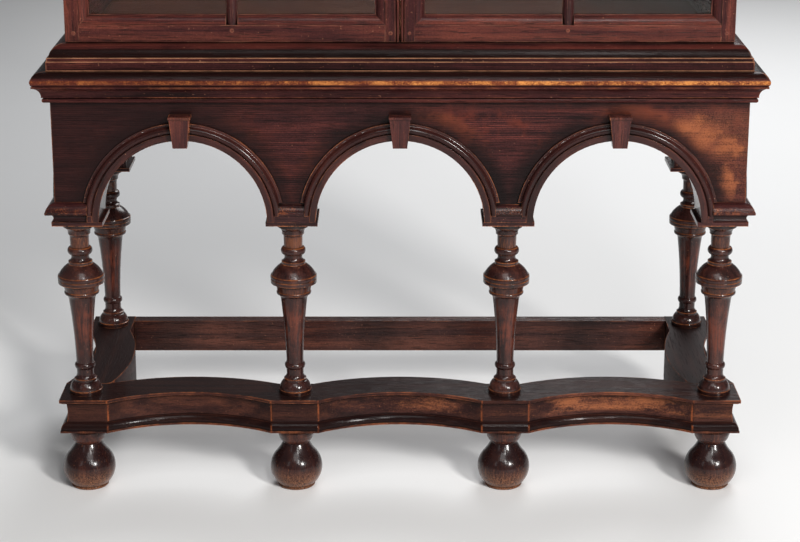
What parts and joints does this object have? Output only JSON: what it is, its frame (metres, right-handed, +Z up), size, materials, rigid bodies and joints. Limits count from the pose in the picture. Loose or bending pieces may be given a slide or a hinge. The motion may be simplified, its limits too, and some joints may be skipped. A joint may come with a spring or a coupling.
{
  "type": "china cabinet",
  "caption": "Dark polished wood china cabinet: glazed two-door case with shelves on a stand with round arches, turned baluster legs, hollowed moulded stretchers and ball feet.",
  "frame": {"origin": "on the floor, at the middle of the overall footprint", "axes": "+Z up, the doors face -Y, +X to the right seen from the front"},
  "size_m": [1.22, 0.4765, 1.9],
  "materials": {
    "polished_wood": "dark waxed polish, worn on the edges",
    "inner_wood": "dull wax",
    "peg_wood": "end grain, waxed",
    "glass": "old drawn sheet",
    "brass": "aged",
    "iron": "dark, rubbed"
  },
  "bodies": {
    "cabinet": {"arch_linings": "polished_wood", "arch_mouldings": "polished_wood", "back_boards": "inner_wood", "capitals_back": "polished_wood", "capitals_front": "polished_wood", "case_base_moulding": "polished_wood", "case_bottom": "inner_wood", "case_rails": "polished_wood", "case_top": "inner_wood", "cornice": "polished_wood", "foot_back_left": "polished_wood", "foot_back_right": "polished_wood", "foot_front_left": "polished_wood", "foot_front_midleft": "polished_wood", "foot_front_midright": "polished_wood", "foot_front_right": "polished_wood", "frieze_back": "inner_wood", "frieze_front": "polished_wood", "frieze_left": "polished_wood", "frieze_right": "polished_wood", "hinge_case_halves": "brass", "keystones": "polished_wood", "leg_back_left": "polished_wood", "leg_back_right": "polished_wood", "leg_front_left": "polished_wood", "leg_front_midleft": "polished_wood", "leg_front_midright": "polished_wood", "leg_front_right": "polished_wood", "shelf_bearers": "inner_wood", "shelf_lower": "inner_wood", "shelf_upper": "inner_wood", "side_frame_left": "polished_wood", "side_frame_right": "polished_wood", "side_panels": "polished_wood", "stand_moulding": "polished_wood", "stand_posts": "inner_wood", "stand_top_board": "polished_wood", "stretcher_back": "polished_wood", "stretcher_front": "polished_wood", "stretcher_left": "polished_wood", "stretcher_right": "polished_wood"},
    "door_left": {"door_left_stiles": "polished_wood", "door_left_rails": "polished_wood", "door_left_bars": "polished_wood", "door_left_panes": "glass", "door_left_pegs": "peg_wood", "hinge_leaves_left": "brass", "bolt_keepers": "brass"},
    "door_right": {"door_right_stiles": "polished_wood", "door_right_rails": "polished_wood", "door_right_bars": "polished_wood", "door_right_panes": "glass", "door_right_pegs": "peg_wood", "hinge_leaves_right": "brass", "lock_case": "brass", "escutcheon": "brass"},
    "key": {"key": "iron"},
    "lock_bolt": {"lock_bolt": "brass"},
    "bolt_upper": {"bolt_upper": "brass"},
    "bolt_lower": {"bolt_lower": "brass"}
  },
  "joints": [
    {"name": "door_left_hinge", "type": "hinge", "parent": "cabinet", "child": "door_left", "pos_m": [-0.5595, -0.1615, 1.293], "axis": [0, 0, -1], "range_deg": [0, 150]},
    {"name": "door_right_hinge", "type": "hinge", "parent": "cabinet", "child": "door_right", "pos_m": [0.5595, -0.1615, 1.293], "axis": [0, 0, 1], "range_deg": [0, 150]},
    {"name": "key_turn", "type": "hinge", "parent": "door_right", "child": "key", "pos_m": [0.015, -0.185, 1.276], "axis": [0, 1, 0], "range_deg": [0, 180]},
    {"name": "lock_bolt_slide", "type": "slide", "parent": "door_right", "child": "lock_bolt", "axis": [-1, 0, 0], "range_m": [0, 0.012]},
    {"name": "bolt_upper_slide", "type": "slide", "parent": "door_left", "child": "bolt_upper", "axis": [0, 0, 1], "range_m": [0, 0.014]},
    {"name": "bolt_lower_slide", "type": "slide", "parent": "door_left", "child": "bolt_lower", "axis": [0, 0, -1], "range_m": [0, 0.014]}
  ],
  "couplings": [
    {"joint": "key_turn", "follows": "lock_bolt_slide", "rad_per_m": 261.79}
  ]
}
